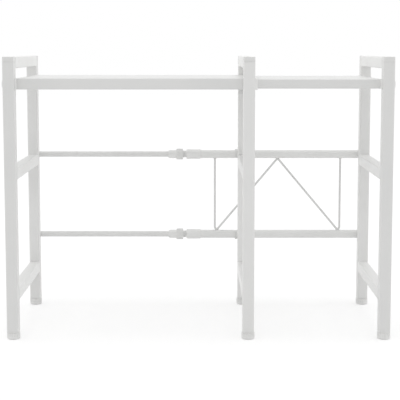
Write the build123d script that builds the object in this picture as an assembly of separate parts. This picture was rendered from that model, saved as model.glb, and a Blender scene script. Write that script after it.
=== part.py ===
from build123d import *
import math
import os

# An extendable steel rack that stands over an appliance. Three ladders of square tube carry a sheet
# metal shelf in two sections, and the inner section slides into the outer one. Two telescoping
# rails behind the rear posts tie the ladders together. Sizes are millimetres, X runs to the right,
# Y to the back and Z up, and the origin is on the floor under the middle of the extended rack.

# Ladders
extended_width = 900.0
outer_section_width = 580.0
rack_height = 662.0
ladder_depth = 350.0
tube_side = 27.0
tube_wall = 1.0
tube_corner = 3.0
middle_rung_drop = 260.0
lower_rung_height = 89.0

# Plugs in the ends of the posts
cap_head = 12.0
plug_depth = 18.0
plug_clearance = 0.1
cap_edge = 1.2
cap_seam = 0.4
insert_flange = 3.0

# Feet
foot_diameter = 31.0
foot_height = 16.0
foot_running_gap = 0.4
foot_edge = 2.5
foot_flutes = 18
flute_radius = 1.2
flute_height = 9.0
stud_diameter = 8.0
stud_in_foot = 9.0
stud_in_insert = 17.0
stud_point = 1.0
thread_clearance = 0.3

# Shelf
shelf_drop = 50.0
shelf_height = 26.0
sheet = 1.0
fold_radius = 2.6
lip_width = 12.0
post_clearance = 1.0
slide_gap = 1.0
running_clearance = 0.3
shelf_overlap = 240.0
mouth_reach = 5.0
trim_wall = 1.2
trim_face = 2.2
trim_post_gap = 0.4
glide_length = 60.0
glide_width = 8.0
end_plate = 2.0
end_plate_setback = 3.0

# Shelf bolts and brackets
bolt_diameter = 6.0
bolt_head_diameter = 19.0
bolt_head_height = 1.8
bolt_key = 4.0
bolt_key_depth = 1.1
bolt_clearance = 0.3
shelf_bracket_width = 24.0
shelf_bracket_leg = 22.0
shelf_bracket_seat = 16.0
bracket_sheet = 2.0

# Small screws
screw_diameter = 4.0
screw_head_diameter = 8.0
screw_head_height = 2.4
screw_slot_length = 4.8
screw_slot_width = 1.0
screw_slot_depth = 1.2
screw_clearance = 0.1
screw_reach = 7.0

# Rails
upper_rail_drop = 262.0
lower_rail_height = 184.0
rail_gap = 4.0
rod_diameter = 15.0
rail_tube_diameter = 22.0
rail_wall = 1.2
rod_overlap = 115.0
rod_clearance = 0.35
seat_clearance = 0.05
bush_head = 8.0
bush_stem = 12.0

# Twist locks
sleeve_end_reach = 455.0
sleeve_diameter = 26.0
sleeve_length = 38.0
sleeve_grip = 15.0
sleeve_edge = 1.5
spigot_diameter = 17.4
spigot_length = 42.0
spigot_slot = 1.2
spigot_slot_length = 24.0
neck_gap = 9.0
ring_diameter = 29.0
ring_length = 18.0
ring_edge = 1.2
ring_flutes = 20
ring_flute_radius = 1.5
nose_length = 21.0
nose_taper_length = 5.0
nose_diameter = 22.4
nose_tip_diameter = 20.0

# Rail brackets and guides
bracket_plate = 2.5
bracket_plate_inset = 1.0
socket_wall = 3.0
socket_end = 2.0
socket_mouth_inset = 5.0
socket_web = 14.0
screw_spacing = 6.0
plate_margin = 7.0
guide_wall = 2.5
guide_clearance = 0.5
guide_overhang = 6.0
guide_skirt = 6.0

# Wire brace
wire_diameter = 5.5
brace_width = 335.0
brace_inset = 45.0
brace_bend = 5.0
weld_gap = 0.05

# How far a cutting shape reaches past what it cuts
over = 1.0

# Places that follow from the sizes above
left_x = -extended_width / 2
right_x = extended_width / 2
half_tube = tube_side / 2
ladder_x = {
    "left": left_x + half_tube,
    "middle": left_x + outer_section_width - half_tube,
    "right": right_x - half_tube,
}
rail_offset = rail_gap + rail_tube_diameter / 2
socket_diameter = rail_tube_diameter + 2 * socket_wall
rear_reach = rail_offset + max(ring_diameter, socket_diameter) / 2
foot_overhang = max(0.0, (foot_diameter - tube_side) / 2)
front_y = foot_overhang - (foot_overhang + ladder_depth + rear_reach) / 2
rear_y = front_y + ladder_depth
post_y = {"front": front_y + half_tube, "rear": rear_y - half_tube}
rail_y = rear_y + rail_offset
upper_rail_height = rack_height - upper_rail_drop
rail_heights = {"upper": upper_rail_height, "lower": lower_rail_height}
insert_bottom = foot_height + foot_running_gap
post_bottom = insert_bottom + insert_flange
post_top = rack_height - cap_head
rung_bottoms = {
    "top_rung": rack_height - tube_side,
    "middle_rung": rack_height - middle_rung_drop - tube_side,
    "lower_rung": lower_rung_height,
}
shelf_top = rack_height - shelf_drop
shelf_mid = shelf_top - shelf_height / 2
shelf_bottom = shelf_top - shelf_height
shelf_depth = ladder_depth - 2 * tube_side - 2 * post_clearance
shelf_y = (front_y + rear_y) / 2
nesting = sheet + slide_gap
inner_depth = shelf_depth - 2 * nesting
inner_height = shelf_height - 2 * nesting
outer_start = left_x + tube_side + end_plate
mouth_x = left_x + outer_section_width + mouth_reach
inner_start = mouth_x - shelf_overlap
inner_end = right_x - tube_side - end_plate
bracket_screw_z = shelf_bottom - bracket_sheet - shelf_bracket_leg / 2
lip_screw_y = shelf_bracket_seat - screw_head_diameter / 2 - screw_clearance
sleeve_end = left_x + sleeve_end_reach
sleeve_start = sleeve_end - sleeve_length
ring_end = sleeve_start - neck_gap
ring_start = ring_end - ring_length
nose_start = ring_start - nose_length
rod_end = sleeve_end + rod_overlap
screw_rise = socket_diameter / 2 + screw_spacing


def block(x0, x1, y0, y1, z0, z1):
    """A box between two corners."""
    centre = Pos((x0 + x1) / 2, (y0 + y1) / 2, (z0 + z1) / 2)
    return centre * Box(x1 - x0, y1 - y0, z1 - z0)


def bar_x(radius, x0, x1, y, z):
    """A round bar along X."""
    return Pos((x0 + x1) / 2, y, z) * Rot(0, 90, 0) * Cylinder(radius, x1 - x0)


def bar_y(radius, y0, y1, x, z):
    """A round bar along Y."""
    return Pos(x, (y0 + y1) / 2, z) * Rot(90, 0, 0) * Cylinder(radius, y1 - y0)


def bar_z(radius, z0, z1, x, y):
    """A round bar along Z."""
    return Pos(x, y, (z0 + z1) / 2) * Cylinder(radius, z1 - z0)


def round_tube(diameter, wall, x0, x1, z):
    """A round tube along a rail's axis."""
    outside = bar_x(diameter / 2, x0, x1, rail_y, z)
    return outside - bar_x(diameter / 2 - wall, x0, x1, rail_y, z)


def square_tube(length):
    """The ladder tube, standing on the origin."""
    outside = RectangleRounded(tube_side, tube_side, tube_corner)
    bore_side = tube_side - 2 * tube_wall
    bore = RectangleRounded(bore_side, bore_side, tube_corner - tube_wall)
    return extrude(outside - bore, amount=length)


def plug(length):
    """The part of a plug that fits inside a post, standing on the origin."""
    side = tube_side - 2 * tube_wall - 2 * plug_clearance
    return extrude(RectangleRounded(side, side, tube_corner - tube_wall), amount=length)


def rear_screw_heights():
    """Heights of the four screws in the rear face of a rear post."""
    return [z + side * screw_rise for z in rail_heights.values() for side in (1, -1)]


def post(ladder, row):
    """A post with the holes for its screws and bolts."""
    x, y = ladder_x[ladder], post_y[row]
    body = Pos(x, y, post_bottom) * square_tube(post_top - post_bottom)
    if ladder != "middle":
        reach = half_tube + over
        body -= bar_x(bolt_diameter / 2 + bolt_clearance, x - reach, x + reach, y, shelf_mid)
    hole = screw_diameter / 2 + screw_clearance
    if ladder == "middle":
        inner_face = y + half_tube if row == "front" else y - half_tube
        body -= bar_y(hole, inner_face - 2 * tube_wall, inner_face + 2 * tube_wall, x, bracket_screw_z)
    if row == "rear":
        for z in rear_screw_heights():
            body -= bar_y(hole, rear_y - 2 * tube_wall, rear_y + 2 * tube_wall, x, z)
    return body


def rung(ladder, bottom):
    """A rung between the two posts of a ladder."""
    place = Pos(ladder_x[ladder], front_y + tube_side, bottom + half_tube)
    return place * Rot(-90, 0, 0) * square_tube(ladder_depth - 2 * tube_side)


def post_cap(ladder, row):
    """A plug with a tall head, on top of a post."""
    head = extrude(RectangleRounded(tube_side, tube_side, tube_corner), amount=cap_head)
    head = fillet(head.edges().group_by(Axis.Z)[-1], cap_edge)
    head = chamfer(head.edges().group_by(Axis.Z)[0], cap_seam)
    stem = Pos(0, 0, -plug_depth) * plug(plug_depth)
    return Pos(ladder_x[ladder], post_y[row], post_top) * (head + stem)


def foot_insert(ladder, row):
    """A plug with a tapped bore, in the bottom of a post."""
    flange = extrude(RectangleRounded(tube_side, tube_side, tube_corner), amount=insert_flange)
    stem = Pos(0, 0, insert_flange) * plug(plug_depth)
    bore_top = insert_flange + plug_depth + over
    bore = bar_z(stud_diameter / 2 + thread_clearance, -over, bore_top, 0, 0)
    return Pos(ladder_x[ladder], post_y[row], insert_bottom) * (flange + stem - bore)


def foot_pad(ladder, row):
    """A round levelling foot with a fluted rim."""
    pad = extrude(Circle(foot_diameter / 2), amount=foot_height)
    pad = fillet(pad.edges().group_by(Axis.Z)[0], foot_edge)
    pad = chamfer(pad.edges().group_by(Axis.Z)[-1], foot_edge / 2)
    for location in PolarLocations(foot_diameter / 2, foot_flutes, start_angle=180 / foot_flutes):
        pad -= location * bar_z(flute_radius, foot_height - flute_height, foot_height + over, 0, 0)
    seat_bottom = foot_height - stud_in_foot
    pad -= bar_z(stud_diameter / 2 + seat_clearance, seat_bottom, foot_height + over, 0, 0)
    return Pos(ladder_x[ladder], post_y[row], 0) * pad


def foot_stud(ladder, row):
    """The threaded stud of a foot."""
    top = insert_bottom + stud_in_insert
    stud = bar_z(stud_diameter / 2, foot_height - stud_in_foot, top, ladder_x[ladder], post_y[row])
    return chamfer(stud.edges().group_by(Axis.Z)[-1], stud_point)


def tray(depth, height, x0, x1):
    """A folded shelf section: top, two flanges and two lips turned in underneath."""
    outside = RectangleRounded(depth, height, fold_radius)
    hollow = RectangleRounded(depth - 2 * sheet, height - 2 * sheet, fold_radius - sheet)
    open_bottom = Pos(0, -height / 2) * Rectangle(depth - 2 * lip_width, 4 * sheet)
    section = Plane((x0, shelf_y, shelf_mid), x_dir=(0, 1, 0), z_dir=(1, 0, 0))
    return extrude(section * (outside - hollow - open_bottom), amount=x1 - x0)


def shelf_bracket_holes(lip):
    """Holes in the lips of the outer section for the screws of the middle brackets."""
    for row, inward in (("front", 1), ("rear", -1)):
        y = post_y[row] + inward * (half_tube + lip_screw_y)
        top = shelf_bottom + 2 * sheet
        hole = screw_diameter / 2 + screw_clearance
        lip -= bar_z(hole, shelf_bottom - over, top, ladder_x["middle"], y)
    return lip


def shelf_end_plate(x0, height):
    """The plate on the end of a shelf section, bolted to both posts of a ladder."""
    y0 = front_y + end_plate_setback
    y1 = rear_y - end_plate_setback
    plate = block(x0, x0 + end_plate, y0, y1, shelf_mid - height / 2, shelf_mid + height / 2)
    for y in post_y.values():
        hole = bolt_diameter / 2 + seat_clearance
        plate -= bar_x(hole, x0 - over, x0 + end_plate + over, y, shelf_mid)
    return plate


def mouth_trim():
    """The plastic rim round the open end of the outer section."""
    grown_depth = shelf_depth + 2 * trim_wall
    grown_height = shelf_height + 2 * trim_wall
    outside = RectangleRounded(grown_depth, grown_height, fold_radius + trim_wall)
    seat_depth = shelf_depth + 2 * seat_clearance
    seat_height = shelf_height + 2 * seat_clearance
    seat = RectangleRounded(seat_depth, seat_height, fold_radius)
    way_depth = inner_depth + 2 * running_clearance
    way_height = inner_height + 2 * running_clearance
    way = RectangleRounded(way_depth, way_height, fold_radius)
    open_bottom = Pos(0, -grown_height / 2) * Rectangle(shelf_depth - 2 * lip_width, 2 * grown_height / 3)
    skirt_start = left_x + outer_section_width + trim_post_gap
    section = Plane((skirt_start, shelf_y, shelf_mid), x_dir=(0, 1, 0), z_dir=(1, 0, 0))
    face_section = section.offset(mouth_x - skirt_start)
    skirt = extrude(section * (outside - seat - open_bottom), amount=mouth_x - skirt_start)
    face = extrude(face_section * (outside - way - open_bottom), amount=trim_face)
    return skirt + face


def shelf_glides():
    """Four plastic strips on the hidden end of the inner section."""
    thick = slide_gap - running_clearance
    x1 = inner_start + glide_length
    strips = []
    for side in (1, -1):
        edge = shelf_y + side * (inner_depth / 2 - fold_radius)
        y0, y1 = sorted((edge, edge - side * glide_width))
        top = shelf_mid + inner_height / 2
        bottom = shelf_mid - inner_height / 2
        strips.append(block(inner_start, x1, y0, y1, top, top + thick))
        strips.append(block(inner_start, x1, y0, y1, bottom - thick, bottom))
    return strips


def screw(length):
    """A small pan head screw: its head stands on the origin and its shank hangs below."""
    head = extrude(Circle(screw_head_diameter / 2), amount=screw_head_height)
    head = fillet(head.edges().group_by(Axis.Z)[-1], screw_head_height / 2)
    slot = Pos(0, 0, screw_head_height) * Box(screw_slot_length, screw_slot_width, 2 * screw_slot_depth)
    shank = bar_z(screw_diameter / 2, -length, 0, 0, 0)
    return head - slot - Rot(0, 0, 90) * slot + shank


def shelf_bolt(ladder, row):
    """A bolt with a wide flat head, from outside through a post into the end plate."""
    head = extrude(Circle(bolt_head_diameter / 2), amount=bolt_head_height)
    head = fillet(head.edges().group_by(Axis.Z)[-1], bolt_head_height / 2)
    key = Pos(0, 0, bolt_head_height - bolt_key_depth) * extrude(
        RegularPolygon(bolt_key / 2, 6, major_radius=False), amount=bolt_key_depth + over
    )
    shank = bar_z(bolt_diameter / 2, -(tube_side + end_plate), 0, 0, 0)
    outward = -1 if ladder == "left" else 1
    place = Pos(ladder_x[ladder] + outward * half_tube, post_y[row], shelf_mid)
    return place * Rot(0, outward * 90, 0) * (head - key + shank)


def shelf_bracket(row):
    """An angle on the inner face of a middle post, under the lip of the outer section."""
    inward = 1 if row == "front" else -1
    face = post_y[row] + inward * half_tube
    x0 = ladder_x["middle"] - shelf_bracket_width / 2
    x1 = x0 + shelf_bracket_width
    leg_y = sorted((face, face + inward * bracket_sheet))
    seat_y = sorted((face, face + inward * shelf_bracket_seat))
    leg_bottom = shelf_bottom - bracket_sheet - shelf_bracket_leg
    angle = block(x0, x1, *leg_y, leg_bottom, shelf_bottom)
    angle += block(x0, x1, *seat_y, shelf_bottom - bracket_sheet, shelf_bottom)
    hole = screw_diameter / 2 + screw_clearance
    angle -= bar_y(hole, leg_y[0] - over, leg_y[1] + over, ladder_x["middle"], bracket_screw_z)
    seat_hole_y = face + inward * lip_screw_y
    seat_hole_start = shelf_bottom - bracket_sheet - over
    angle -= bar_z(hole, seat_hole_start, shelf_bottom + over, ladder_x["middle"], seat_hole_y)
    return angle


def shelf_bracket_screws():
    """The screws of the middle brackets: one into each post and one into each lip."""
    screws = []
    for row, inward in (("front", 1), ("rear", -1)):
        face = post_y[row] + inward * half_tube
        leg = Pos(ladder_x["middle"], face + inward * bracket_sheet, bracket_screw_z)
        screws.append(leg * Rot(-inward * 90, 0, 0) * screw(bracket_sheet + tube_wall + screw_reach))
        seat = Pos(ladder_x["middle"], face + inward * lip_screw_y, shelf_bottom - bracket_sheet)
        screws.append(seat * Rot(180, 0, 0) * screw(bracket_sheet + sheet))
    return screws


def bracket_base(ladder, z):
    """The plate that a rail bracket or guide is screwed on with."""
    x = ladder_x[ladder]
    width = half_tube - bracket_plate_inset
    rise = screw_rise + plate_margin
    plate = block(x - width, x + width, rear_y, rear_y + bracket_plate, z - rise, z + rise)
    for side in (1, -1):
        hole = screw_diameter / 2 + screw_clearance
        plate -= bar_y(hole, rear_y - over, rear_y + bracket_plate + over, x, z + side * screw_rise)
    return plate


def rail_bracket(ladder, z, diameter, x0, x1, bore_x0, bore_x1):
    """A socket that holds the end of a rod or tube behind a rear post."""
    radius = diameter / 2 + socket_wall
    web = socket_web / 2
    bracket = bracket_base(ladder, z)
    bracket += block(x0, x1, rear_y, rail_y, z - web, z + web)
    bracket += bar_x(radius, x0, x1, rail_y, z)
    return bracket - bar_x(diameter / 2 + seat_clearance, bore_x0, bore_x1, rail_y, z)


def left_rail_bracket(z):
    """The socket of a thin rod, behind the left rear post."""
    x0 = left_x + bracket_plate_inset
    x1 = left_x + tube_side - socket_mouth_inset
    return rail_bracket("left", z, rod_diameter, x0, x1, x0 + socket_end, x1 + over)


def right_rail_bracket(z):
    """The socket of a thick tube, behind the right rear post."""
    x0 = right_x - tube_side + socket_mouth_inset
    x1 = right_x - bracket_plate_inset
    return rail_bracket("right", z, rail_tube_diameter, x0, x1, x0 - over, x1 - socket_end)


def rail_guide(z, opening):
    """A hook behind the middle rear post. Its opening, up or down, lets the brace go by."""
    inside = rail_tube_diameter / 2 + guide_clearance
    x0 = ladder_x["middle"] - half_tube - guide_overhang
    x1 = ladder_x["middle"] + half_tube + guide_overhang
    hook = bar_x(inside + guide_wall, x0, x1, rail_y, z)
    reach = inside + guide_wall + over
    near, far = sorted((z + opening * guide_skirt, z + opening * reach))
    hook -= block(x0 - over, x1 + over, rail_y - reach, rail_y + reach, near, far)
    guide = bracket_base("middle", z) + hook
    return guide - bar_x(inside, x0 - over, x1 + over, rail_y, z)


def rail_screws(ladder):
    """The screws that hold the brackets or guides of one ladder."""
    place = Pos(ladder_x[ladder], rear_y + bracket_plate, 0) * Rot(-90, 0, 0)
    length = bracket_plate + tube_wall + screw_reach
    return [Pos(0, 0, z) * place * screw(length) for z in rear_screw_heights()]


def thin_rod(z):
    """The thin rod of a rail, from its socket to inside the thick tube."""
    start = left_x + bracket_plate_inset + socket_end + seat_clearance
    return round_tube(rod_diameter, rail_wall, start, rod_end, z)


def rod_bush(z):
    """The plastic end of a thin rod, which runs inside the thick tube."""
    head_radius = rail_tube_diameter / 2 - rail_wall - running_clearance
    stem_radius = rod_diameter / 2 - rail_wall - seat_clearance
    head = bar_x(head_radius, rod_end, rod_end + bush_head, rail_y, z)
    return head + bar_x(stem_radius, rod_end - bush_stem, rod_end, rail_y, z)


def thick_tube(z):
    """The thick tube of a rail, from its sleeve to the right bracket."""
    end = right_x - bracket_plate_inset - socket_end - seat_clearance
    return round_tube(rail_tube_diameter, rail_wall, sleeve_end - sleeve_grip, end, z)


def lock_sleeve(z):
    """The sleeve of a twist lock, with the slotted spigot that grips the rod."""
    grip = bar_x(sleeve_diameter / 2, sleeve_start, sleeve_end, rail_y, z)
    ends = grip.edges().filter_by(GeomType.CIRCLE)
    grip = chamfer(ends, sleeve_edge)
    tip = sleeve_start - spigot_length
    sleeve = grip + bar_x(spigot_diameter / 2, tip, sleeve_start, rail_y, z)
    for side in (0, 90):
        slot = Box(2 * spigot_slot_length, spigot_slot, 2 * spigot_diameter)
        sleeve -= Pos(tip, rail_y, z) * Rot(side, 0, 0) * slot
    sleeve -= bar_x(rod_diameter / 2 + rod_clearance, tip - over, sleeve_end + over, rail_y, z)
    seat = rail_tube_diameter / 2 + seat_clearance
    return sleeve - bar_x(seat, sleeve_end - sleeve_grip, sleeve_end + over, rail_y, z)


def lock_collar(z):
    """The turning collar of a twist lock: a tapered nose and a fluted ring."""
    ring = bar_x(ring_diameter / 2, ring_start, ring_end, rail_y, z)
    ring = chamfer(ring.edges().filter_by(GeomType.CIRCLE), ring_edge)
    axis = Pos(0, rail_y, z) * Rot(0, 90, 0)
    for location in PolarLocations(ring_diameter / 2, ring_flutes, start_angle=180 / ring_flutes):
        flute = location * bar_z(ring_flute_radius, ring_start - over, ring_end + over, 0, 0)
        ring -= axis * flute
    taper = Cone(nose_tip_diameter / 2, nose_diameter / 2, nose_taper_length)
    taper = Pos(nose_start + nose_taper_length / 2, rail_y, z) * Rot(0, 90, 0) * taper
    barrel = bar_x(nose_diameter / 2, nose_start + nose_taper_length, ring_start, rail_y, z)
    collar = ring + taper + barrel
    collar -= bar_x(rod_diameter / 2 + rod_clearance, nose_start - over, ring_end + over, rail_y, z)
    spigot_tip = sleeve_start - spigot_length - thread_clearance
    way = spigot_diameter / 2 + thread_clearance
    return collar - bar_x(way, spigot_tip, ring_end + over, rail_y, z)


def back_brace():
    """One wire bent to an M between the thick tubes, welded under the upper and on the lower one."""
    right = right_x - tube_side - brace_inset
    left = right - brace_width
    wire = wire_diameter / 2
    tube = rail_tube_diameter / 2 + weld_gap
    top = upper_rail_height - tube
    bottom_axis = lower_rail_height + tube + wire
    peak_axis = top - wire
    # The slanted runs are tangent to the bends at both ends, which gives their lean from upright
    run_x = brace_width / 2 - brace_bend
    run_z = peak_axis - bottom_axis - 2 * brace_bend
    lean = math.atan2(run_x, run_z) - math.asin(2 * brace_bend / math.hypot(run_x, run_z))
    # A corner of the outline lies outside its bend by what the bend cuts off
    foot_cut = brace_bend / math.tan(lean / 2) - brace_bend
    peak_cut = brace_bend / math.sin(lean) - brace_bend
    low = bottom_axis - foot_cut
    high = peak_axis + peak_cut
    centre = (left + right) / 2
    outline = [(left, top + wire), (left, low), (centre, high), (right, low), (right, top + wire)]
    points = [(x, rail_y, z) for x, z in outline]
    route = FilletPolyline(*points, radius=brace_bend)
    start = Plane(origin=points[0], x_dir=(1, 0, 0), z_dir=(0, 0, -1))
    brace = sweep(start * Circle(wire), path=route)
    return brace - bar_x(tube, left - 2 * wire, right + 2 * wire, rail_y, upper_rail_height)


def save(name, *shapes):
    """Write one node, which may hold several alike solids."""
    solids = [solid for shape in shapes for solid in shape.solids()]
    node = solids[0] if len(solids) == 1 else Compound(solids)
    node.label = name
    export_step(node, os.path.join("parts", name + ".step"))


def save_ladders():
    """Write the posts, rungs and feet of the three ladders."""
    for ladder in ladder_x:
        for row in post_y:
            save(f"{ladder}_{row}_post", post(ladder, row))
            save(f"{ladder}_{row}_foot", foot_pad(ladder, row))
            save(f"{ladder}_{row}_stud", foot_stud(ladder, row))
        for name, bottom in rung_bottoms.items():
            save(f"{ladder}_{name}", rung(ladder, bottom))
    for section, ladders in (("outer", ("left", "middle")), ("inner", ("right",))):
        places = [(ladder, row) for ladder in ladders for row in post_y]
        save(f"{section}_post_caps", *[post_cap(*place) for place in places])
        save(f"{section}_foot_inserts", *[foot_insert(*place) for place in places])


def save_shelf():
    """Write the two shelf sections and what carries them."""
    outer = tray(shelf_depth, shelf_height, outer_start, mouth_x)
    save("outer_shelf", shelf_bracket_holes(outer))
    save("inner_shelf", tray(inner_depth, inner_height, inner_start, inner_end))
    save("outer_end_plate", shelf_end_plate(left_x + tube_side, shelf_height))
    save("inner_end_plate", shelf_end_plate(inner_end, inner_height))
    save("mouth_trim", mouth_trim())
    save("shelf_glides", *shelf_glides())
    save("left_shelf_bolts", *[shelf_bolt("left", row) for row in post_y])
    save("right_shelf_bolts", *[shelf_bolt("right", row) for row in post_y])
    save("shelf_brackets", *[shelf_bracket(row) for row in post_y])
    save("shelf_bracket_screws", *shelf_bracket_screws())


def save_rails():
    """Write the two telescoping rails, their locks, brackets and guides, and the brace."""
    for rail, z in rail_heights.items():
        save(f"{rail}_rod", thin_rod(z))
        save(f"{rail}_rod_bush", rod_bush(z))
        save(f"{rail}_tube", thick_tube(z))
        save(f"{rail}_lock_sleeve", lock_sleeve(z))
        save(f"{rail}_lock_collar", lock_collar(z))
    save("left_rail_brackets", *[left_rail_bracket(z) for z in rail_heights.values()])
    save("right_rail_brackets", *[right_rail_bracket(z) for z in rail_heights.values()])
    save("rail_guides", rail_guide(upper_rail_height, -1), rail_guide(lower_rail_height, 1))
    save("left_rail_screws", *rail_screws("left"))
    save("middle_rail_screws", *rail_screws("middle"))
    save("right_rail_screws", *rail_screws("right"))
    save("back_brace", back_brace())


os.makedirs("parts", exist_ok=True)
save_ladders()
save_shelf()
save_rails()
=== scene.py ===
"""Looks of an extendable white steel rack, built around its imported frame.

Three welded ladders carry a two part sliding shelf. Two telescoping rails with twist locks and a
wire brace tie them together at the back. Every frame node gets a procedural finish here, and the
welds and the screw threads of the locks are modelled as pieces of their own.
"""

import logging
import math
from collections.abc import Iterable
from dataclasses import dataclass, field
from enum import Enum

import bmesh
import bpy
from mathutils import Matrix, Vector


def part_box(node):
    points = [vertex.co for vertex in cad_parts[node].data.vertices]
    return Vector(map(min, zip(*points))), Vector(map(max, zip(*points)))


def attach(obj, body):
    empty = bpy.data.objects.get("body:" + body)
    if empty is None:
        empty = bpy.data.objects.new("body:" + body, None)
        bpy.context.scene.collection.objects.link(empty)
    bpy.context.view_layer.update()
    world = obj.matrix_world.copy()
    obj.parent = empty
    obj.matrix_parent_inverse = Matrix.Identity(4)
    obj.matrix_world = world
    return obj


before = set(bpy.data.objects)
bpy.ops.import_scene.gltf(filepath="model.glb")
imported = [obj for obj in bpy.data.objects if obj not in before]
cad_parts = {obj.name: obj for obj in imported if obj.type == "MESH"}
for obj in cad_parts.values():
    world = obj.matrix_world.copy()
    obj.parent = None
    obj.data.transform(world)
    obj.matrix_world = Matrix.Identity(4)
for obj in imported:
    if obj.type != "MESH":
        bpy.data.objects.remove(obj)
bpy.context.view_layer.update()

LOG = logging.getLogger("rack")
MM = 0.001
IMAGE_SIDE = 400
SENSOR_WIDTH = 36.0

BEVEL_SAMPLES = 4
FLAT_DOT = 0.995
EDGE_DOT = 0.86
GLOSS_LEVEL = 0.5

Colour = tuple[float, float, float]
Point = tuple[float, float, float]


class Slot(Enum):
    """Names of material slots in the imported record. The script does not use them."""

    POWDER_COAT = "white_powder_coat"
    PLASTIC = "white_plastic"


class Body(Enum):
    """Frame bodies that new pieces ride on."""

    LEFT = "left_frame"
    RIGHT = "right_frame"


class Side(Enum):
    """The three ladders."""

    LEFT = "left"
    MIDDLE = "middle"
    RIGHT = "right"

    @property
    def body(self) -> Body:
        """The body that this ladder belongs to."""
        return Body.RIGHT if self is Side.RIGHT else Body.LEFT


class Level(Enum):
    """The two rails."""

    UPPER = "upper"
    LOWER = "lower"


class Axis(Enum):
    """World axes, for the weld beads."""

    X = 0
    Y = 1
    Z = 2

    @property
    def vector(self) -> Vector:
        """The axis as a unit vector."""
        return Vector([1.0 if i == self.value else 0.0 for i in range(3)])


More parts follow.
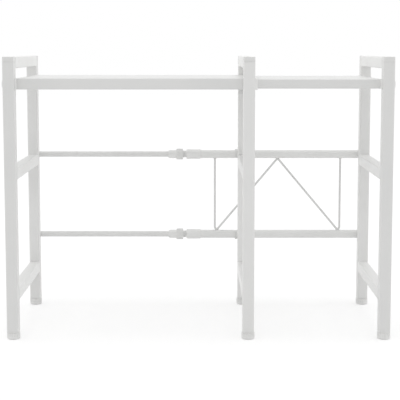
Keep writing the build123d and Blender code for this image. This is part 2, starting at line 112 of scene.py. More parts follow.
@dataclass
class ShaderSheet:
    """The node tree of one material, with short ways to add what the finishes share."""

    material: bpy.types.Material

    @classmethod
    def new(cls, name: str) -> "ShaderSheet":
        """Starts an empty material.

        Args:
            name: The material's name.

        Returns:
            The sheet that its nodes are added with.
        """
        material = bpy.data.materials.new(name)
        material.use_nodes = True
        material.node_tree.nodes.clear()
        return cls(material)

    def add(self, kind: str, **settings: object) -> bpy.types.Node:
        """Adds a node.

        Args:
            kind: The node's type.
            **settings: Properties of the node, by name.

        Returns:
            The new node.
        """
        node = self.material.node_tree.nodes.new(kind)
        for name, value in settings.items():
            setattr(node, name, value)
        return node

    def link(self, source: bpy.types.NodeSocket, target: bpy.types.NodeSocket) -> None:
        """Joins two sockets."""
        self.material.node_tree.links.new(source, target)

    def place(self, stretch: Point = (1.0, 1.0, 1.0)) -> bpy.types.NodeSocket:
        """Gives the object's own coordinates.

        Args:
            stretch: How much the coordinates grow along each axis.

        Returns:
            The vector socket.
        """
        coordinates = self.add("ShaderNodeTexCoord")
        mapping = self.add("ShaderNodeMapping")
        mapping.inputs["Scale"].default_value = stretch
        self.link(coordinates.outputs["Object"], mapping.inputs["Vector"])
        return mapping.outputs["Vector"]

    def noise(
        self,
        size: float,
        detail: float = 2.0,
        stretch: Point = (1.0, 1.0, 1.0),
        distortion: float = 0.0,
    ) -> bpy.types.NodeSocket:
        """Adds a noise pattern.

        Args:
            size: Size of the pattern's marks, in metres.
            detail: Number of finer layers.
            stretch: How much the coordinates grow along each axis.
            distortion: How far the pattern is swirled.

        Returns:
            The pattern's value socket.
        """
        noise = self.add("ShaderNodeTexNoise")
        noise.inputs["Scale"].default_value = 1.0 / size
        noise.inputs["Detail"].default_value = detail
        noise.inputs["Distortion"].default_value = distortion
        self.link(self.place(stretch), noise.inputs["Vector"])
        return noise.outputs["Fac"]

    def spread(
        self,
        value: bpy.types.NodeSocket,
        low: float,
        high: float,
        start: float = 0.3,
        end: float = 0.7,
    ) -> bpy.types.NodeSocket:
        """Maps a value onto a range.

        Args:
            value: The socket that is read.
            low: Result at start.
            high: Result at end.
            start: Value that gives low.
            end: Value that gives high.

        Returns:
            The mapped value's socket.
        """
        spread = self.add("ShaderNodeMapRange")
        for name, number in (
            ("From Min", start),
            ("From Max", end),
            ("To Min", low),
            ("To Max", high),
        ):
            spread.inputs[name].default_value = number
        self.link(value, spread.inputs["Value"])
        return spread.outputs["Result"]

    def mix(
        self,
        share: bpy.types.NodeSocket,
        first: Colour | bpy.types.NodeSocket,
        second: Colour,
    ) -> bpy.types.NodeSocket:
        """Mixes two colours.

        Args:
            share: Socket with the share of the second colour.
            first: A colour, or the socket of one.
            second: The colour that is mixed in.

        Returns:
            The mixed colour's socket.
        """
        mix = self.add("ShaderNodeMix", data_type="RGBA")
        self.link(share, mix.inputs["Factor"])
        if isinstance(first, bpy.types.NodeSocket):
            self.link(first, mix.inputs["A"])
        else:
            mix.inputs["A"].default_value = (*first, 1.0)
        mix.inputs["B"].default_value = (*second, 1.0)
        return mix.outputs["Result"]

    def math(
        self,
        operation: str,
        first: bpy.types.NodeSocket,
        second: bpy.types.NodeSocket | float,
    ) -> bpy.types.NodeSocket:
        """Adds a math node.

        Args:
            operation: The node's operation.
            first: Its first socket.
            second: Its second socket, or a number.

        Returns:
            The result's socket.
        """
        node = self.add("ShaderNodeMath", operation=operation, use_clamp=True)
        self.link(first, node.inputs[0])
        if isinstance(second, bpy.types.NodeSocket):
            self.link(second, node.inputs[1])
        else:
            node.inputs[1].default_value = second
        return node.outputs["Value"]

    def softened(self, radius: float) -> tuple[bpy.types.NodeSocket, bpy.types.NodeSocket]:
        """Rounds the edges in the shading.

        The mask grows as the rounded normal turns away from the face, from FLAT_DOT to EDGE_DOT.

        Args:
            radius: Radius of the rounding, in metres.

        Returns:
            The rounded normal, and a mask that is 1 on the edges.
        """
        bevel = self.add("ShaderNodeBevel", samples=BEVEL_SAMPLES)
        bevel.inputs["Radius"].default_value = radius
        geometry = self.add("ShaderNodeNewGeometry")
        dot = self.add("ShaderNodeVectorMath", operation="DOT_PRODUCT")
        self.link(bevel.outputs["Normal"], dot.inputs[0])
        self.link(geometry.outputs["Normal"], dot.inputs[1])
        mask = self.spread(dot.outputs["Value"], 0.0, 1.0, start=FLAT_DOT, end=EDGE_DOT)
        return bevel.outputs["Normal"], mask

    def cloudy_roughness(
        self, base: float, smoother: float, rougher: float, size: float, detail: float
    ) -> bpy.types.NodeSocket:
        """Gives a roughness that drifts softly over the surface.

        Args:
            base: The finish's usual roughness.
            smoother: How far it falls below that.
            rougher: How far it rises above that.
            size: Size of the soft patches, in metres.
            detail: Number of finer layers.

        Returns:
            The roughness socket.
        """
        return self.spread(self.noise(size, detail=detail), base - smoother, base + rougher)

    def bump(
        self,
        height: bpy.types.NodeSocket,
        depth: float,
        normal: bpy.types.NodeSocket | None = None,
    ) -> bpy.types.NodeSocket:
        """Raises a pattern from the surface.

        Args:
            height: The pattern.
            depth: Height of the pattern, in metres.
            normal: A normal that the pattern is laid on.

        Returns:
            The normal's socket.
        """
        bump = self.add("ShaderNodeBump")
        bump.inputs["Strength"].default_value = 1.0
        bump.inputs["Distance"].default_value = depth
        self.link(height, bump.inputs["Height"])
        if normal is not None:
            self.link(normal, bump.inputs["Normal"])
        return bump.outputs["Normal"]

    def surface(
        self,
        colour: bpy.types.NodeSocket,
        roughness: bpy.types.NodeSocket,
        normal: bpy.types.NodeSocket,
        **constants: float,
    ) -> bpy.types.Material:
        """Ends the material with a principled surface.

        Args:
            colour: Socket of the base colour.
            roughness: Socket of the roughness.
            normal: Socket of the normal.
            **constants: Other inputs, with spaces in their names as underscores.

        Returns:
            The finished material.
        """
        shader = self.add("ShaderNodeBsdfPrincipled")
        output = self.add("ShaderNodeOutputMaterial")
        self.link(colour, shader.inputs["Base Color"])
        self.link(roughness, shader.inputs["Roughness"])
        self.link(normal, shader.inputs["Normal"])
        for name, value in constants.items():
            shader.inputs[name.replace("_", " ")].default_value = value
        self.link(shader.outputs["BSDF"], output.inputs["Surface"])
        return self.material


@dataclass(frozen=True)
class PowderCoat:
    """Satin white powder paint, baked on steel.

    The film has a fine orange peel, drifts a little in tone, and thins along the edges. Where
    parts slide on each other it is rubbed along X.
    """

    name: str
    colour: Colour = (0.80, 0.80, 0.79)
    drift_colour: Colour = (0.775, 0.777, 0.77)
    edge_colour: Colour = (0.70, 0.705, 0.705)
    rub_colour: Colour = (0.72, 0.725, 0.73)
    roughness: float = 0.42
    smoother: float = 0.05
    rougher: float = 0.06
    drift_size: float = 90 * MM
    gloss_size: float = 25 * MM
    thin_size: float = 6 * MM
    thin_range: tuple[float, float] = (0.1, 0.5)
    peel_size: float = 1.4 * MM
    peel_depth: float = 0.02 * MM
    grain_shrink: float = 5.0
    grain_share: float = 0.15
    edge_radius: float = 0.9 * MM
    rubbed: bool = False
    rub_size: float = 0.9 * MM
    rub_stretch: Point = (0.02, 1.0, 1.0)
    rub_range: tuple[float, float] = (0.56, 0.72)
    rub_share: float = 0.5
    rub_polish: float = 0.35

    def make(self) -> bpy.types.Material:
        """Builds the paint.

        Returns:
            The material.
        """
        sheet = ShaderSheet.new(self.name)
        normal, edge = sheet.softened(self.edge_radius)
        drift = sheet.noise(self.drift_size, detail=3.0)
        colour = sheet.mix(sheet.spread(drift, 0.0, 1.0), self.colour, self.drift_colour)
        patches = sheet.spread(sheet.noise(self.thin_size), *self.thin_range)
        colour = sheet.mix(sheet.math("MULTIPLY", edge, patches), colour, self.edge_colour)
        roughness = sheet.cloudy_roughness(
            self.roughness, self.smoother, self.rougher, self.gloss_size, detail=4.0
        )
        if self.rubbed:
            streaks = sheet.noise(self.rub_size, detail=3.0, stretch=self.rub_stretch)
            start, end = self.rub_range
            worn = sheet.spread(streaks, 0.0, self.rub_share, start=start, end=end)
            colour = sheet.mix(worn, colour, self.rub_colour)
            polish = sheet.math("MULTIPLY", worn, self.rub_polish)
            roughness = sheet.math("SUBTRACT", roughness, polish)
        peel = sheet.noise(self.peel_size, detail=2.0)
        grain = sheet.noise(self.peel_size / self.grain_shrink, detail=1.0)
        coarse = sheet.math("MULTIPLY", peel, 1.0 - self.grain_share)
        fine = sheet.math("MULTIPLY", grain, self.grain_share)
        normal = sheet.bump(sheet.math("ADD", coarse, fine), self.peel_depth, normal)
        return sheet.surface(colour, roughness, normal, Specular_IOR_Level=GLOSS_LEVEL)


@dataclass(frozen=True)
class MouldedPlastic:
    """Matte white plastic from a spark-eroded mould, with faint flow marks and worn edges."""

    name: str
    colour: Colour = (0.82, 0.82, 0.81)
    flow_colour: Colour = (0.79, 0.79, 0.775)
    edge_colour: Colour = (0.86, 0.86, 0.855)
    dust_colour: Colour = (0.66, 0.65, 0.63)
    roughness: float = 0.38
    smoother: float = 0.05
    rougher: float = 0.07
    flow_size: float = 14 * MM
    flow_swirl: float = 1.2
    gloss_size: float = 5 * MM
    grain_size: float = 0.35 * MM
    grain_depth: float = 0.012 * MM
    edge_radius: float = 0.5 * MM
    edge_share: float = 0.6
    dust_height: float = 0.0
    dust_share: float = 0.8
    dust_size: float = 2.5 * MM
    dust_gap: float = 0.2

    def make(self) -> bpy.types.Material:
        """Builds the plastic.

        Returns:
            The material.
        """
        sheet = ShaderSheet.new(self.name)
        normal, edge = sheet.softened(self.edge_radius)
        flow = sheet.noise(self.flow_size, detail=2.0, distortion=self.flow_swirl)
        colour = sheet.mix(sheet.spread(flow, 0.0, 1.0), self.colour, self.flow_colour)
        worn = sheet.math("MULTIPLY", edge, self.edge_share)
        colour = sheet.mix(worn, colour, self.edge_colour)
        if self.dust_height > 0.0:
            separate = sheet.add("ShaderNodeSeparateXYZ")
            sheet.link(sheet.place(), separate.inputs["Vector"])
            height = separate.outputs["Z"]
            low = sheet.spread(height, self.dust_share, 0.0, start=0.0, end=self.dust_height)
            patchy = sheet.spread(sheet.noise(self.dust_size, detail=4.0), self.dust_gap, 1.0)
            colour = sheet.mix(sheet.math("MULTIPLY", low, patchy), colour, self.dust_colour)
        roughness = sheet.cloudy_roughness(
            self.roughness, self.smoother, self.rougher, self.gloss_size, detail=3.0
        )
        normal = sheet.bump(sheet.noise(self.grain_size, detail=2.0), self.grain_depth, normal)
        return sheet.surface(colour, roughness, normal, Specular_IOR_Level=GLOSS_LEVEL)


@dataclass(frozen=True)
class ZincPlate:
    """Bright zinc plate on small hardware, with a cloudy passivated tint and fine scratches."""

    name: str
    colour: Colour = (0.60, 0.62, 0.65)
    tint_colour: Colour = (0.66, 0.64, 0.58)
    roughness: float = 0.34
    smoother: float = 0.08
    rougher: float = 0.1
    gloss_size: float = 1.5 * MM
    cloud_size: float = 3 * MM
    cloud_share: float = 0.7
    scratch_size: float = 0.15 * MM
    scratch_stretch: Point = (1.0, 1.0, 0.15)
    scratch_depth: float = 0.004 * MM
    edge_radius: float = 0.25 * MM

    def make(self) -> bpy.types.Material:
        """Builds the plating.

        Returns:
            The material.
        """
        sheet = ShaderSheet.new(self.name)
        normal, _ = sheet.softened(self.edge_radius)
        cloud = sheet.spread(sheet.noise(self.cloud_size, detail=3.0), 0.0, self.cloud_share)
        colour = sheet.mix(cloud, self.colour, self.tint_colour)
        roughness = sheet.cloudy_roughness(
            self.roughness, self.smoother, self.rougher, self.gloss_size, detail=4.0
        )
        scratches = sheet.noise(self.scratch_size, detail=3.0, stretch=self.scratch_stretch)
        normal = sheet.bump(scratches, self.scratch_depth, normal)
        return sheet.surface(colour, roughness, normal, Metallic=1.0)


@dataclass
class Finishes:
    """All finishes of the rack, made once.

    Some copies are painted light and shade: they are lightened to offset the shade that falls on
    their parts, or darkened to stand in for shade.
    """

    paint: bpy.types.Material = field(
        default_factory=lambda: PowderCoat("satin_powder_coat").make()
    )
    # Painted light: the rear posts' paint is lightened to offset the shade of the shelf and the
    # front parts.
    rear_coat_lightened_for_shade: bpy.types.Material = field(
        default_factory=lambda: PowderCoat(
            "rear_shade_offset_coat", colour=(0.84, 0.84, 0.83), drift_colour=(0.80, 0.80, 0.79)
        ).make()
    )
    # Painted light: the middle front post's paint is lightened to offset the shade on it.
    middle_coat_lightened_for_shade: bpy.types.Material = field(
        default_factory=lambda: PowderCoat(
            "middle_shade_offset_coat", colour=(0.84, 0.84, 0.83), drift_colour=(0.82, 0.82, 0.81)
        ).make()
    )
    # Painted light: the middle rear post's paint is lightened further to offset the shade of the
    # front post.
    middle_rear_coat_lightened_for_shade: bpy.types.Material = field(
        default_factory=lambda: PowderCoat(
            "middle_rear_shade_offset_coat", colour=(0.89, 0.89, 0.88), drift_colour=(0.87, 0.87, 0.86)
        ).make()
    )
    # Painted light: the rungs' paint is lightened to offset the shade of the shelf above them.
    rung_coat_lightened_for_shade: bpy.types.Material = field(
        default_factory=lambda: PowderCoat(
            "rung_shade_offset_coat", colour=(0.89, 0.89, 0.88), drift_colour=(0.86, 0.86, 0.85)
        ).make()
    )
    # Painted light: the rails' paint is lightened to offset the shade on their undersides.
    rail_coat_lightened_for_shade: bpy.types.Material = field(
        default_factory=lambda: PowderCoat(
            "rail_shade_offset_coat", colour=(0.88, 0.88, 0.87), drift_colour=(0.85, 0.85, 0.84)
        ).make()
    )
    sliding_paint: bpy.types.Material = field(
        default_factory=lambda: PowderCoat("sliding_powder_coat", rubbed=True).make()
    )
    # Painted light: the rods' paint is lightened to offset the shade on them.
    rod_coat_lightened_for_shade: bpy.types.Material = field(
        default_factory=lambda: PowderCoat(
            "rod_shade_offset_coat",
            colour=(0.84, 0.84, 0.83),
            drift_colour=(0.81, 0.81, 0.80),
            rubbed=True,
        ).make()
    )
    # Painted shade: the wire's paint is darkened to stand in for shade, as its round sides catch
    # the side lamps.
    wire_coat_darkened_as_shade: bpy.types.Material = field(
        default_factory=lambda: PowderCoat(
            "wire_painted_shade_coat", colour=(0.76, 0.76, 0.75), peel_size=0.9 * MM, edge_radius=0.3 * MM
        ).make()
    )
    plastic: bpy.types.Material = field(
        default_factory=lambda: MouldedPlastic("moulded_plastic").make()
    )
    # Painted light: this plastic is lightened to offset the shade in the locks' grooves and neck.
    plastic_lightened_for_shade: bpy.types.Material = field(
        default_factory=lambda: MouldedPlastic(
            "plastic_lightened_for_shade", colour=(0.88, 0.88, 0.87), flow_colour=(0.86, 0.86, 0.85)
        ).make()
    )
    # Painted highlight: the trim's plastic is lightened to offset the shade beside the middle
    # post, so it shows as a bright sliver.
    trim_painted_highlight_plastic: bpy.types.Material = field(
        default_factory=lambda: MouldedPlastic(
            "trim_painted_highlight_plastic",
            colour=(0.94, 0.94, 0.93),
            flow_colour=(0.92, 0.92, 0.91),
            edge_colour=(0.95, 0.95, 0.94),
        ).make()
    )
    cap_plastic: bpy.types.Material = field(
        default_factory=lambda: MouldedPlastic(
            "cap_plastic",
            colour=(0.80, 0.80, 0.79),
            flow_colour=(0.78, 0.78, 0.77),
            edge_colour=(0.72, 0.72, 0.71),
        ).make()
    )
    foot_plastic: bpy.types.Material = field(
        default_factory=lambda: MouldedPlastic(
            "foot_plastic",
            colour=(0.87, 0.87, 0.86),
            flow_colour=(0.85, 0.85, 0.84),
            dust_colour=(0.74, 0.73, 0.71),
            dust_height=5 * MM,
        ).make()
    )
    zinc: bpy.types.Material = field(default_factory=lambda: ZincPlate("zinc_plate").make())


def dress(node: str, material: bpy.types.Material) -> None:
    """Gives a frame node its finish.

    Args:
        node: The node's name.
        material: The finish.
    """
    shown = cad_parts[node]
    if not shown.material_slots:
        shown.data.materials.append(material)
    for slot in shown.material_slots:
        slot.material = material
    LOG.info("dressed %s with %s", node, material.name)


def pour(part: bmesh.types.BMesh, mesh: bmesh.types.BMesh) -> None:
    """Adds a small mesh to a growing one.

    Args:
        part: The small mesh. It is freed.
        mesh: The mesh that gets it.
    """
    data = bpy.data.meshes.new("part")
    part.to_mesh(data)
    part.free()
    mesh.from_mesh(data)
    bpy.data.meshes.remove(data)


def fixed_order(faces: Iterable[list[int]]) -> list[list[int]]:
    """Puts faces in an order that is the same in each run.

    The sphere operator gives the same faces in a different order each time.

    Args:
        faces: The corners of each face, as vertex numbers.

    Returns:
        The same faces, sorted, each starting at its lowest vertex.
    """
    turned = []
    for corners in faces:
        first = corners.index(min(corners))
        turned.append(corners[first:] + corners[:first])
    return sorted(turned)


def make_piece(
    name: str,
    mesh: bmesh.types.BMesh,
    material: bpy.types.Material,
    body: Body,
) -> bpy.types.Object:
    """Turns a finished bmesh into a piece that rides on a body.

    Args:
        name: The piece's name.
        mesh: Its mesh, in place. It is freed.
        material: Its finish.
        body: The body that it moves with.

    Returns:
        The piece.
    """
    bmesh.ops.recalc_face_normals(mesh, faces=mesh.faces[:])
    mesh.verts.index_update()
    points = [vert.co.copy() for vert in mesh.verts]
    corners = fixed_order([vert.index for vert in face.verts] for face in mesh.faces)
    mesh.free()
    data = bpy.data.meshes.new(name)
    data.from_pydata(points, [], corners)
    data.shade_smooth()
    data.materials.append(material)
    piece = bpy.data.objects.new(name, data)
    bpy.context.scene.collection.objects.link(piece)
    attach(piece, body.value)
    LOG.info("built %s: %d faces, rides on %s", name, len(data.polygons), body.value)
    return piece


@dataclass(frozen=True)
class WeldBead:
    """A fillet weld, laid as overlapping ripples along an axis."""

    radius: float = 1.6 * MM
    pitch: float = 1.6 * MM
    squeeze: float = 0.8
    segments: int = 10
    rings: int = 6
    least_in_ring: int = 6

    def ripple(self, mesh: bmesh.types.BMesh, place: Vector, along: Axis) -> None:
        """Adds one ripple.

        Args:
            mesh: The mesh that gets it.
            place: Its centre.
            along: The axis that it is squeezed along.
        """
        made = bmesh.ops.create_uvsphere(
            mesh, u_segments=self.segments, v_segments=self.rings, radius=self.radius
        )
        turn = Vector((0.0, 0.0, 1.0)).rotation_difference(along.vector).to_matrix()
        scale = Vector((1.0, 1.0, 1.0)) - along.vector * (1.0 - self.squeeze)
        bmesh.ops.rotate(mesh, verts=made["verts"], cent=(0.0, 0.0, 0.0), matrix=turn)
        bmesh.ops.scale(mesh, verts=made["verts"], vec=scale)
        bmesh.ops.translate(mesh, verts=made["verts"], vec=place)

    def lay(self, mesh: bmesh.types.BMesh, start: Vector, end: Vector, along: Axis) -> None:
        """Lays a straight bead.

        Args:
            mesh: The mesh that gets it.
            start: Centre of its first ripple.
            end: Centre of its last ripple.
            along: The axis that it runs along.
        """
        steps = max(1, round((end - start).length / self.pitch))
        bead = bmesh.new()
        for step in range(steps + 1):
            self.ripple(bead, start.lerp(end, step / steps), along)
        pour(bead, mesh)

    def ring(self, mesh: bmesh.types.BMesh, centre: Vector, reach: float) -> None:
        """Lays a bead round an upright wire.

        Args:
            mesh: The mesh that gets it.
            centre: Centre of the ring.
            reach: Radius of the ring.
        """
        count = max(self.least_in_ring, round(2 * math.pi * reach / self.pitch))
        bead = bmesh.new()
        for step in range(count):
            angle = 2 * math.pi * step / count
            offset = Vector((math.cos(angle), math.sin(angle), 0.0)) * reach
            self.ripple(bead, centre + offset, Axis.Z)
        pour(bead, mesh)


@dataclass
class Ladder:
    """One end frame: two posts, three rungs, their plastic ends and their welds."""

    side: Side
    finishes: Finishes
    bead: WeldBead = WeldBead()
    bead_lift: float = 0.4
    corner: float = 3.0 * MM
    cap_height: float = 12.0 * MM
    rungs: tuple[str, ...] = ("top_rung", "middle_rung", "lower_rung")
    rows: tuple[str, ...] = ("front", "rear")

    def build(self) -> None:
        """Dresses the ladder and adds its welds."""
        finishes = self.finishes
        # The rear and middle posts take paints lightened as painted light, to offset the shade on
        # them.
        posts = {"front": finishes.paint, "rear": finishes.rear_coat_lightened_for_shade}
        if self.side is Side.MIDDLE:
            posts = {"front": finishes.middle_coat_lightened_for_shade, "rear": finishes.middle_rear_coat_lightened_for_shade}
        for row in self.rows:
            dress(f"{self.side.value}_{row}_post", posts[row])
            dress(f"{self.side.value}_{row}_foot", finishes.foot_plastic)
            dress(f"{self.side.value}_{row}_stud", finishes.zinc)
        # The rungs and their welds take a paint lightened as painted light, against the shelf's
        # shade.
        for rung in self.rungs:
            dress(f"{self.side.value}_{rung}", finishes.rung_coat_lightened_for_shade)
        self.add_welds()

    def add_welds(self) -> bpy.types.Object:
        """Adds the fillet welds that join the rungs to the posts.

        Returns:
            The piece with all welds of this ladder.
        """
        mesh = bmesh.new()
        for rung in self.rungs:
            low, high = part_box(f"{self.side.value}_{rung}")
            for y in (low.y, high.y):
                self.add_joint_welds(mesh, low, high, y, is_top=rung == "top_rung")
        name = f"{self.side.value}_ladder_welds"
        return make_piece(name, mesh, self.finishes.rung_coat_lightened_for_shade, self.side.body)

    def add_joint_welds(
        self, mesh: bmesh.types.BMesh, low: Vector, high: Vector, y: float, is_top: bool
    ) -> None:
        """Adds the beads round one end of a rung.

        Args:
            mesh: The mesh that gets them.
            low: The rung's lowest corner.
            high: The rung's highest corner.
            y: Where the rung meets its post.
            is_top: Whether the plastic cap of the post stands beside the rung's upper half.
        """
        x_ends = (low.x + self.corner, high.x - self.corner)
        outward = -1.0 if y == low.y else 1.0
        for z in (low.z,) if is_top else (low.z, high.z):
            start, end = (Vector((x, y, z)) for x in x_ends)
            self.bead.lay(mesh, start, end, Axis.X)
        z_start = low.z + self.corner
        z_end = high.z - (self.cap_height if is_top else 0.0) - self.corner
        depth = y + outward * self.bead.radius * self.bead_lift
        for x in (low.x + self.bead.radius, high.x - self.bead.radius):
            self.bead.lay(mesh, Vector((x, depth, z_start)), Vector((x, depth, z_end)), Axis.Z)


@dataclass
class SlidingShelf:
    """The two folded shelf sections, their end plates, trim, glides, bolts and brackets."""

    finishes: Finishes

    def build(self) -> None:
        """Dresses every part of the shelf."""
        finishes = self.finishes
        for node in ("outer_shelf", "outer_end_plate", "inner_end_plate", "shelf_brackets"):
            dress(node, finishes.paint)
        for node in ("left_shelf_bolts", "right_shelf_bolts"):
            dress(node, finishes.paint)
        dress("inner_shelf", finishes.sliding_paint)
        # The trim takes a plastic lightened as a painted highlight.
        dress("mouth_trim", finishes.trim_painted_highlight_plastic)
        dress("shelf_glides", finishes.plastic)
        dress("shelf_bracket_screws", finishes.zinc)


@dataclass
class TelescopingRail:
    """A thin rod that slides in a thick tube, and the twist lock between them."""

    level: Level
    finishes: Finishes
    neck: float = 9.0 * MM
    spigot_radius: float = 8.7 * MM
    thread_pitch: float = 1.8 * MM
    thread_height: float = 0.7 * MM
    thread_root: float = 0.1 * MM
    thread_steps: int = 28
    end_gap: float = 0.6 * MM

    def build(self) -> None:
        """Dresses the rail and adds the thread of its lock."""
        level = self.level.value
        # The rod and tube take paints lightened as painted light, to offset the shade on them.
        dress(f"{level}_rod", self.finishes.rod_coat_lightened_for_shade)
        dress(f"{level}_tube", self.finishes.rail_coat_lightened_for_shade)
        dress(f"{level}_rod_bush", self.finishes.plastic)
        # The lock parts and the thread take a plastic lightened as painted light, against the
        # shade in the neck.
        for part in ("lock_sleeve", "lock_collar"):
            dress(f"{level}_{part}", self.finishes.plastic_lightened_for_shade)
        self.add_thread()

    def add_thread(self) -> bpy.types.Object:
        """Adds the screw thread that shows between the collar and the sleeve.

        A triangular profile is swept along a screw line in the bare neck of the lock.

        Returns:
            The piece with the thread.
        """
        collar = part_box(f"{self.level.value}_lock_collar")
        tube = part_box(f"{self.level.value}_tube")
        axis_y = (tube[0].y + tube[1].y) / 2
        axis_z = (tube[0].z + tube[1].z) / 2
        start = collar[1].x + self.end_gap
        turns = (self.neck - 2 * self.end_gap) / self.thread_pitch - 1.0
        root = self.spigot_radius - self.thread_root
        mesh = bmesh.new()
        corners = (
            (start, root),
            (start + self.thread_pitch / 2, root + self.thread_height),
            (start + self.thread_pitch, root),
        )
        verts = [mesh.verts.new((x, axis_y, axis_z + r)) for x, r in corners]
        profile = mesh.faces.new(verts)
        steps = round(turns * self.thread_steps)
        bmesh.ops.spin(
            mesh,
            geom=[profile, *profile.edges, *profile.verts],
            cent=(0.0, axis_y, axis_z),
            axis=(1.0, 0.0, 0.0),
            dvec=(self.thread_pitch / self.thread_steps, 0.0, 0.0),
            angle=2 * math.pi * turns,
            steps=steps,
            use_duplicate=False,
        )
        bmesh.ops.holes_fill(mesh, edges=[e for e in mesh.edges if e.is_boundary], sides=4)
        name = f"{self.level.value}_lock_thread"
        return make_piece(name, mesh, self.finishes.plastic_lightened_for_shade, Body.RIGHT)


@dataclass
class RailSupports:
    """Sockets, guides and screws that hold the rails behind the rear posts."""

    finishes: Finishes

    def build(self) -> None:
        """Dresses the supports."""
        for node in ("left_rail_brackets", "right_rail_brackets", "rail_guides"):
            dress(node, self.finishes.paint)
        for side in Side:
            dress(f"{side.value}_rail_screws", self.finishes.zinc)


@dataclass
class WireBrace:
    """The bent wire between the thick tubes, with its five welds."""

    finishes: Finishes
    bead: WeldBead = WeldBead(radius=1.3 * MM, pitch=1.3 * MM)
    bead_lift: float = 0.3
    bead_spread: float = 0.8
    wire_radius: float = 2.75 * MM
    bend: float = 5.0 * MM
    bead_length: float = 8.0 * MM

    def build(self) -> None:
        """Dresses the wire and adds its welds."""
        # The wire and its welds take a paint darkened as painted shade.
        dress("back_brace", self.finishes.wire_coat_darkened_as_shade)
        self.add_welds()

    def add_welds(self) -> bpy.types.Object:
        """Adds the welds at the wire's ends, bends and peak.

        Returns:
            The piece with the five welds.
        """
        wire_low, wire_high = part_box("back_brace")
        upper_low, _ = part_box("upper_tube")
        _, lower_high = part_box("lower_tube")
        y = (wire_low.y + wire_high.y) / 2
        uprights = (wire_low.x + self.wire_radius, wire_high.x - self.wire_radius)
        mesh = bmesh.new()
        reach = self.wire_radius + self.bead.radius * self.bead_lift
        for x in uprights:
            self.bead.ring(mesh, Vector((x, y, upper_low.z)), reach)
        inward = (uprights[0] + self.bend, uprights[1] - self.bend)
        for x in inward:
            self.add_side_welds(mesh, Vector((x, y, lower_high.z)))
        self.add_side_welds(mesh, Vector((sum(uprights) / 2, y, upper_low.z)))
        return make_piece(
            "brace_welds", mesh, self.finishes.wire_coat_darkened_as_shade, Body.RIGHT
        )

    def add_side_welds(self, mesh: bmesh.types.BMesh, contact: Vector) -> None:
        """Adds a bead on each side of the wire where it touches a tube.

        Args:
            mesh: The mesh that gets them.
            contact: Where the wire touches the tube.
        """
        half = Vector((self.bead_length / 2, 0.0, 0.0))
        for side in (-1.0, 1.0):
            offset = Vector((0.0, side * self.wire_radius * self.bead_spread, 0.0))
            self.bead.lay(mesh, contact + offset - half, contact + offset + half, Axis.X)


@dataclass
class PlasticEnds:
    """The caps on top of the posts and the threaded inserts in their bottoms."""

    finishes: Finishes

    def build(self) -> None:
        """Dresses the plugs."""
        for section in ("outer", "inner"):
            dress(f"{section}_post_caps", self.finishes.cap_plastic)
            dress(f"{section}_foot_inserts", self.finishes.plastic)


@dataclass(frozen=True)
class Lamp:
    """A square softbox: its name, place, aim, side in metres and power in watts."""

    name: str
    place: Point
    target: Point
    size: float
    power: float

    def hang(self) -> bpy.types.Object:
        """Adds the lamp to the scene.

        Returns:
            The lamp.
        """
        data = bpy.data.lights.new(self.name, "AREA")
        data.size = self.size
        data.energy = self.power
        lamp = bpy.data.objects.new(self.name, data)
        lamp.location = self.place
        aim = Vector(self.target) - Vector(self.place)
        lamp.rotation_euler = aim.to_track_quat("-Z", "Y").to_euler()
        lamp.visible_camera = False
        bpy.context.scene.collection.objects.link(lamp)
        LOG.info("built %s", self.name)
        return lamp


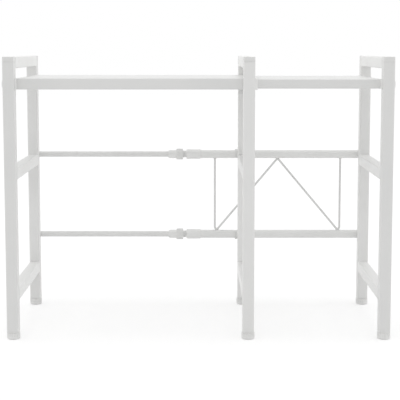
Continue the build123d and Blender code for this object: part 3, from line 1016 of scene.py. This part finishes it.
@dataclass
class Studio:
    """A pale floor, soft lamps, a white surround and the camera of the photograph."""

    floor_half: float = 12.0
    floor_colour: Colour = (0.88, 0.88, 0.88)
    speckle_colour: Colour = (0.86, 0.86, 0.86)
    speckle_size: float = 0.4
    seen_floor_colour: Colour = (0.66, 0.66, 0.66)
    floor_lift: tuple[float, float] = (0.44, 0.52)
    lift_distances: tuple[float, float] = (0.8, 4.0)
    world_strength: float = 0.77
    top_lamp: Lamp = Lamp("top_softbox", (0.0, 0.0, 3.4), (0.0, 0.0, 0.3), 2.6, 20.0)
    left_lamp: Lamp = Lamp("left_softbox", (-5.0, -0.3, 1.3), (0.0, 0.0, 0.4), 2.8, 28.0)
    right_lamp: Lamp = Lamp("right_softbox", (5.0, -0.3, 1.3), (0.0, 0.0, 0.4), 2.8, 28.0)
    camera_place: Point = (0.0032, -2.4753, 0.6808)
    camera_pitch: float = 5.515
    focal_pixels: float = 997.5
    lens_shift: float = -0.138

    def build(self) -> None:
        """Builds everything that surrounds the rack."""
        self.add_floor()
        self.add_world()
        for lamp in (self.top_lamp, self.left_lamp, self.right_lamp):
            lamp.hang()
        self.add_camera()
        bpy.context.scene.view_settings.view_transform = "Standard"

    def add_floor(self) -> bpy.types.Object:
        """Adds the floor.

        Returns:
            The floor.
        """
        mesh = bmesh.new()
        bmesh.ops.create_grid(mesh, x_segments=1, y_segments=1, size=self.floor_half)
        data = bpy.data.meshes.new("studio_floor")
        mesh.to_mesh(data)
        mesh.free()
        data.materials.append(self.floor_material())
        floor = bpy.data.objects.new("studio_floor", data)
        bpy.context.scene.collection.objects.link(floor)
        LOG.info("built %s", floor.name)
        return floor

    def floor_material(self) -> bpy.types.Material:
        """Makes a floor that shows white to the camera and keeps the rack's shadow.

        Returns:
            The material.
        """
        sheet = ShaderSheet.new("studio_floor")
        speckle = sheet.spread(sheet.noise(self.speckle_size, detail=3.0), 0.0, 1.0)
        tone = sheet.mix(speckle, self.floor_colour, self.speckle_colour)
        plain = sheet.add("ShaderNodeBsdfDiffuse")
        sheet.link(tone, plain.inputs["Color"])
        seen = sheet.add("ShaderNodeBsdfDiffuse")
        seen.inputs["Color"].default_value = (*self.seen_floor_colour, 1.0)
        glow = sheet.add("ShaderNodeEmission")
        distance = sheet.add("ShaderNodeVectorMath", operation="LENGTH")
        sheet.link(sheet.place(), distance.inputs[0])
        near, far = self.lift_distances
        lift = sheet.spread(distance.outputs["Value"], *self.floor_lift, start=near, end=far)
        sheet.link(lift, glow.inputs["Strength"])
        lifted = sheet.add("ShaderNodeAddShader")
        sheet.link(seen.outputs["BSDF"], lifted.inputs[0])
        sheet.link(glow.outputs["Emission"], lifted.inputs[1])
        choice = sheet.add("ShaderNodeMixShader")
        sheet.link(self.seen_directly(sheet), choice.inputs["Fac"])
        sheet.link(plain.outputs["BSDF"], choice.inputs[1])
        sheet.link(lifted.outputs["Shader"], choice.inputs[2])
        output = sheet.add("ShaderNodeOutputMaterial")
        sheet.link(choice.outputs["Shader"], output.inputs["Surface"])
        return sheet.material

    @staticmethod
    def seen_directly(sheet: ShaderSheet) -> bpy.types.NodeSocket:
        """Gives a mask that is 1 for camera, mirror and glass rays.

        Args:
            sheet: The material's sheet.

        Returns:
            The mask's socket.
        """
        path = sheet.add("ShaderNodeLightPath")
        seen = sheet.math("ADD", path.outputs["Is Camera Ray"], path.outputs["Is Glossy Ray"])
        return sheet.math("ADD", seen, path.outputs["Is Transmission Ray"])

    def add_world(self) -> None:
        """Adds an even surround that shows as white."""
        world = bpy.data.worlds.new("studio_surround")
        bpy.context.scene.world = world
        world.use_nodes = True
        tree = world.node_tree
        tree.nodes.clear()
        path = tree.nodes.new("ShaderNodeLightPath")
        camera_or_gloss = tree.nodes.new("ShaderNodeMath")
        camera_or_gloss.operation = "MAXIMUM"
        tree.links.new(path.outputs["Is Camera Ray"], camera_or_gloss.inputs[0])
        tree.links.new(path.outputs["Is Glossy Ray"], camera_or_gloss.inputs[1])
        any_seen = tree.nodes.new("ShaderNodeMath")
        any_seen.operation = "MAXIMUM"
        tree.links.new(camera_or_gloss.outputs["Value"], any_seen.inputs[0])
        tree.links.new(path.outputs["Is Transmission Ray"], any_seen.inputs[1])
        light = tree.nodes.new("ShaderNodeBackground")
        light.inputs["Strength"].default_value = self.world_strength
        shown = tree.nodes.new("ShaderNodeBackground")
        shown.inputs["Strength"].default_value = 1.0
        for background in (light, shown):
            background.inputs["Color"].default_value = (1.0, 1.0, 1.0, 1.0)
        mix = tree.nodes.new("ShaderNodeMixShader")
        tree.links.new(any_seen.outputs["Value"], mix.inputs["Fac"])
        tree.links.new(light.outputs["Background"], mix.inputs[1])
        tree.links.new(shown.outputs["Background"], mix.inputs[2])
        output = tree.nodes.new("ShaderNodeOutputWorld")
        tree.links.new(mix.outputs["Shader"], output.inputs["Surface"])

    def add_camera(self) -> bpy.types.Object:
        """Adds the camera at the photograph's viewing angle.

        Returns:
            The camera.
        """
        data = bpy.data.cameras.new("photo_camera")
        data.sensor_width = SENSOR_WIDTH
        data.lens = self.focal_pixels / IMAGE_SIDE * SENSOR_WIDTH
        data.shift_y = self.lens_shift
        camera = bpy.data.objects.new("photo_camera", data)
        camera.location = self.camera_place
        camera.rotation_euler = (math.radians(90.0 - self.camera_pitch), 0.0, 0.0)
        bpy.context.scene.collection.objects.link(camera)
        bpy.context.scene.camera = camera
        LOG.info("built %s", camera.name)
        return camera


def main() -> None:
    """Builds the dressed rack and its studio."""
    logging.basicConfig(level=logging.INFO, format="%(name)s: %(message)s")
    Studio().build()
    finishes = Finishes()
    for side in Side:
        Ladder(side, finishes).build()
    PlasticEnds(finishes).build()
    SlidingShelf(finishes).build()
    for level in Level:
        TelescopingRail(level, finishes).build()
    RailSupports(finishes).build()
    WireBrace(finishes).build()


if __name__ == "__main__":
    main()
